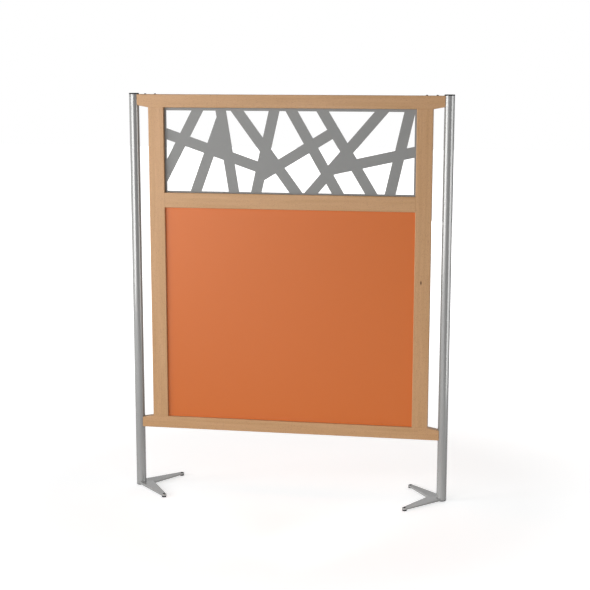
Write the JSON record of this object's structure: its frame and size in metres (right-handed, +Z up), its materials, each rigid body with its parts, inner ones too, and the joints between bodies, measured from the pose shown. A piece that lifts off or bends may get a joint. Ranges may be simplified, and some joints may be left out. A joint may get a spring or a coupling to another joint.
{
  "type": "partition screen",
  "caption": "Free-standing room divider: a beech frame with a cut-out grille above a solid panel, hung between round steel posts on V-shaped feet with levelling glides.",
  "frame": {"origin": "centre of the footprint, on the floor under the four glides", "axes": "+X along the screen to the right as seen from the front, +Y from the front to the back, +Z up"},
  "size_m": [1.197, 0.286, 1.504],
  "materials": {
    "silver_paint": "smooth silver-grey powder coat, half gloss",
    "black_plastic": "black moulded plastic, matt",
    "beech": "steamed beech under satin clear lacquer",
    "grey_paint": "mid grey powder coat, matt",
    "orange_laminate": "orange laminate, satin",
    "black_steel": "blackened steel",
    "bare_steel": "bare drawn steel"
  },
  "bodies": {
    "screen": {"left_post_tube": "silver_paint", "left_post_cap": "black_plastic", "left_post_bottom_plug": "black_plastic", "left_front_leg": "silver_paint", "left_back_leg": "silver_paint", "left_upper_peg": "bare_steel", "left_lower_peg": "bare_steel", "right_post_tube": "silver_paint", "right_post_cap": "black_plastic", "right_post_bottom_plug": "black_plastic", "right_front_leg": "silver_paint", "right_back_leg": "silver_paint", "right_upper_peg": "bare_steel", "right_lower_peg": "bare_steel", "top_rail": "beech", "middle_rail": "beech", "bottom_rail": "beech", "left_stile": "beech", "right_stile": "beech", "corner_dowels": "beech", "middle_rail_dowels": "beech", "upper_grille": "grey_paint", "lower_panel": "orange_laminate", "top_screws": "black_steel", "bottom_screws": "black_steel"},
    "left_front_glide": {"left_front_glide_pad": "black_plastic"},
    "left_front_stud": {"left_front_glide_stud": "black_steel"},
    "left_back_glide": {"left_back_glide_pad": "black_plastic"},
    "left_back_stud": {"left_back_glide_stud": "black_steel"},
    "right_front_glide": {"right_front_glide_pad": "black_plastic"},
    "right_front_stud": {"right_front_glide_stud": "black_steel"},
    "right_back_glide": {"right_back_glide_pad": "black_plastic"},
    "right_back_stud": {"right_back_glide_stud": "black_steel"}
  },
  "joints": [
    {"name": "left_front_glide_height", "type": "slide", "parent": "screen", "child": "left_front_glide", "axis": [0, 0, -1], "range_m": [0, 0.005]},
    {"name": "left_front_stud_turn", "type": "hinge", "parent": "left_front_glide", "child": "left_front_stud", "pos_m": [-0.454, -0.1335, 0], "axis": [0, 0, -1], "range_deg": [0, 1441]},
    {"name": "left_back_glide_height", "type": "slide", "parent": "screen", "child": "left_back_glide", "axis": [0, 0, -1], "range_m": [0, 0.005]},
    {"name": "left_back_stud_turn", "type": "hinge", "parent": "left_back_glide", "child": "left_back_stud", "pos_m": [-0.454, 0.1335, 0], "axis": [0, 0, -1], "range_deg": [0, 1441]},
    {"name": "right_front_glide_height", "type": "slide", "parent": "screen", "child": "right_front_glide", "axis": [0, 0, -1], "range_m": [0, 0.005]},
    {"name": "right_front_stud_turn", "type": "hinge", "parent": "right_front_glide", "child": "right_front_stud", "pos_m": [0.454, -0.1335, 0], "axis": [0, 0, -1], "range_deg": [0, 1441]},
    {"name": "right_back_glide_height", "type": "slide", "parent": "screen", "child": "right_back_glide", "axis": [0, 0, -1], "range_m": [0, 0.005]},
    {"name": "right_back_stud_turn", "type": "hinge", "parent": "right_back_glide", "child": "right_back_stud", "pos_m": [0.454, 0.1335, 0], "axis": [0, 0, -1], "range_deg": [0, 1441]}
  ],
  "couplings": [
    {"joint": "left_front_stud_turn", "follows": "left_front_glide_height", "rad_per_m": 5026.5},
    {"joint": "left_back_stud_turn", "follows": "left_back_glide_height", "rad_per_m": 5026.5},
    {"joint": "right_front_stud_turn", "follows": "right_front_glide_height", "rad_per_m": 5026.5},
    {"joint": "right_back_stud_turn", "follows": "right_back_glide_height", "rad_per_m": 5026.5}
  ]
}
